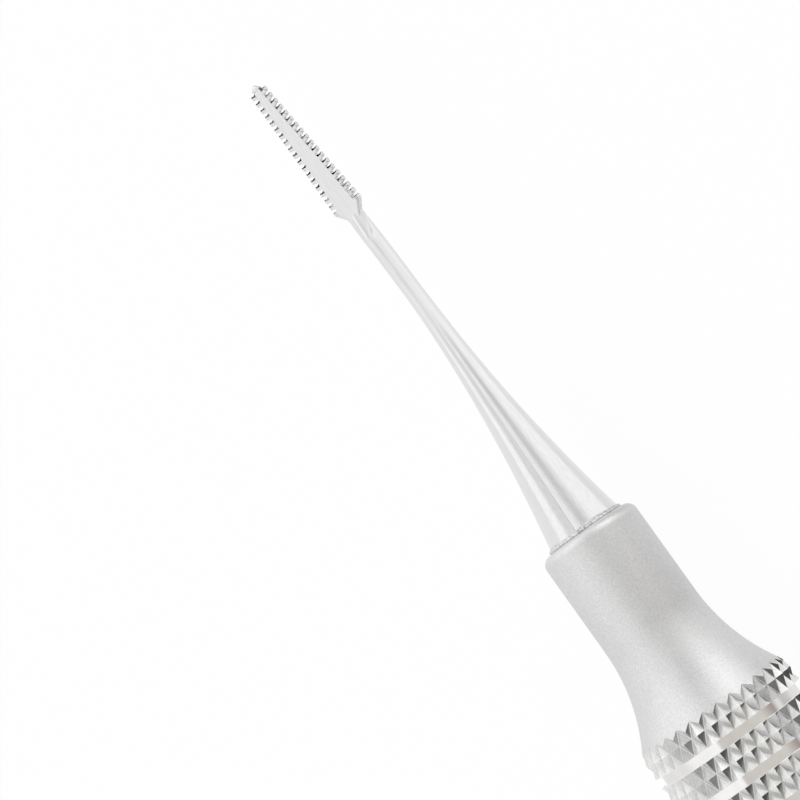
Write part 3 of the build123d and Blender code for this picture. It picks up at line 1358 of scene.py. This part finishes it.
@dataclass
class Studio:
    """Camera, light tent, lamp and pale floor. Sizes are in millimetres and angles in degrees.

    The scale is in pixels per millimetre at the mouth, and the tent's walls stand by the X of the
    direction in which they are seen.
    """

    scale: float = 18.44
    mouth: Colour = (MOUTH, 0.0, AXIS_HEIGHT)
    mouth_pixel: Range = (585.6, 530.9)
    picture: float = 800.0
    sideways: float = -5.97
    lean: float = 28.44
    roll: float = 35.44
    distance: float = 162.7
    sensor: float = 36.0
    clip: Range = (0.01, 10.0)
    floor_size: float = 1600.0
    floor_grey: float = 0.88
    floor_glow: float = 0.96
    lamp_size: float = 260.0
    lamp_place: Colour = (40.0, 180.0, 420.0)
    lamp_aim: Colour = (60.0, 0.0, 0.0)
    lamp_power: float = 0.22
    tent: tuple[tuple[float, Wall], ...] = (
        (-0.36, GRIP_WALL),
        (-0.12, FRONT_WALL),
        (-0.02, FRONT_WALL),
        (0.05, NECK_WALL),
        (0.16, NECK_WALL),
        (0.22, shank_wall(0.98)),
        (0.30, shank_wall(0.98)),
        (0.37, shank_wall(0.50)),
        (0.56, TIP_WALL),
    )

    def axes(self) -> tuple[Vector, Vector, Vector]:
        """Right, up and back of the camera, worked out from its three angles."""
        side, lean, roll = (math.radians(a) for a in (self.sideways, self.lean, self.roll))
        level = math.cos(side)
        back = Vector((math.sin(side), -math.sin(lean) * level, math.cos(lean) * level))
        along = (Vector((1, 0, 0)) - back * back.x).normalized()
        across = back.cross(along)
        up = along * math.cos(roll) - across * math.sin(roll)
        return up.cross(back), up, back

    def add_camera(self) -> None:
        """Places the camera so that the handle's mouth falls on its pixel."""
        right, up, back = self.axes()
        shift, drop = ((pixel - self.picture / 2) / self.scale for pixel in self.mouth_pixel)
        centre = Vector(self.mouth) - right * shift + up * drop
        data = bpy.data.cameras.new("camera")
        data.sensor_width = self.sensor
        data.lens = self.scale * self.distance / self.picture * self.sensor
        data.clip_start, data.clip_end = self.clip
        camera = bpy.data.objects.new("camera", data)
        turn = Matrix((right, up, back)).transposed().to_4x4()
        camera.matrix_world = Matrix.Translation((centre + back * self.distance) * MM) @ turn
        bpy.context.scene.collection.objects.link(camera)
        bpy.context.scene.camera = camera

    def add_world(self) -> None:
        """Surrounds the object with a white tent that is open and greyer on the viewer's side."""
        world = bpy.data.worlds.new("light_tent")
        board = NodeBoard.emptied(world)
        parts = board.parts(board.add("ShaderNodeTexCoord").outputs["Generated"])
        towards = board.value("MULTIPLY", parts["Y"], -1.0)
        angle = board.value("ARCTAN2", towards, parts["Z"])
        share = board.spread(angle, 0, 1, (-math.pi, math.pi))
        walls = []
        for reach, wall in self.tent:
            stops = tuple(((degrees + 180) / 360, colour) for degrees, colour in wall)
            walls.append((reach, board.ramp(share, stops)))
        tent = walls[0][1]
        for (near, _), (far, wall) in zip(walls, walls[1:]):
            ends = {"Value": parts["X"], "From Min": near, "From Max": far}
            turned = board.add("ShaderNodeMapRange", ends, interpolation_type="SMOOTHSTEP")
            tent = board.blend(turned.outputs["Result"], tent, wall)
        seen = board.add("ShaderNodeLightPath").outputs["Is Camera Ray"]
        colour = board.blend(seen, tent, (1, 1, 1))
        light = board.add("ShaderNodeBackground", {"Color": colour, "Strength": 1.0})
        board.add("ShaderNodeOutputWorld", {"Surface": light.outputs[0]})
        bpy.context.scene.world = world

    def add_floor(self) -> None:
        """Lays a pale floor that looks white and keeps a soft shadow."""
        half = self.floor_size / 2
        shell = Shell()
        corners = ((-half, -half), (half, -half), (half, half), (-half, half))
        shell.face([Vector((x, y, 0)) for x, y in corners])
        material = bpy.data.materials.new("white_floor")
        board = NodeBoard.emptied(material)
        paper = board.add("ShaderNodeBsdfDiffuse", {"Color": (*(self.floor_grey,) * 3, 1)})
        glow = board.add("ShaderNodeEmission", {"Color": (1, 1, 1, 1), "Strength": 1.0})
        rays = board.add("ShaderNodeLightPath").outputs
        seen = board.value("MAXIMUM", rays["Is Camera Ray"], rays["Is Glossy Ray"])
        share = board.spread(seen, 0, self.floor_glow, (0, 1))
        halves = {0: share, 1: paper.outputs[0], 2: glow.outputs[0]}
        mixed = board.add("ShaderNodeMixShader", halves)
        board.add("ShaderNodeOutputMaterial", {"Surface": mixed.outputs[0]})
        floor = bpy.data.objects.new("floor", shell.dressed("floor", [material]))
        floor.visible_glossy = False
        bpy.context.scene.collection.objects.link(floor)

    def add_lamp(self) -> None:
        """Hangs a soft panel lamp over the far side."""
        data = bpy.data.lights.new("panel_lamp", "AREA")
        data.shape = "SQUARE"
        data.size = self.lamp_size * MM
        data.energy = self.lamp_power
        lamp = bpy.data.objects.new("panel_lamp", data)
        lamp.visible_glossy = False
        lamp.location = Vector(self.lamp_place) * MM
        aim = Vector(self.lamp_aim) * MM - lamp.location
        lamp.rotation_euler = aim.to_track_quat("-Z", "Y").to_euler()
        bpy.context.scene.collection.objects.link(lamp)

    def build(self) -> None:
        """Builds the whole studio."""
        self.add_camera()
        self.add_world()
        self.add_floor()
        self.add_lamp()
        bpy.context.scene.view_settings.view_transform = "Standard"


def main() -> None:
    """Builds the studio and the three pieces."""
    logging.basicConfig(level=logging.INFO, format="%(name)s: %(message)s")
    Studio().build()
    satin, knurled = BlastedSteel().build(), KnurledSteel().build()
    polished, rough = TurnedSteel().build(), RoughLandSteel().build()
    # Near-white, hardly metallic walls in the slots and on the shoulders' sides: painted reflection
    # of the bright surroundings.
    pale, white = (0.96, 0.96, 0.96), (0.99, 0.99, 0.99)
    slots = PaintedShadeAndReflectionSteel("painted_reflection_slot_steel", pale, white, bump_strength=0.05, metallic=0.1)
    plate = [GroundSteel().build(), PaintedShadeAndReflectionSteel().build(), slots.build()]
    tree = CopyTree()
    pieces = [(Handle().build(tree, satin, knurled, polished), "handle", "handle")]
    for side in Side:
        pieces.append((WorkingEnd().build(side, tree, plate, rough), side.value[0], "file_end"))
    for piece, node, slot in pieces:
        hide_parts(node)
        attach(piece, "root")
        log.info("%s stands for %s", piece.name, node)


if __name__ == "__main__":
    main()
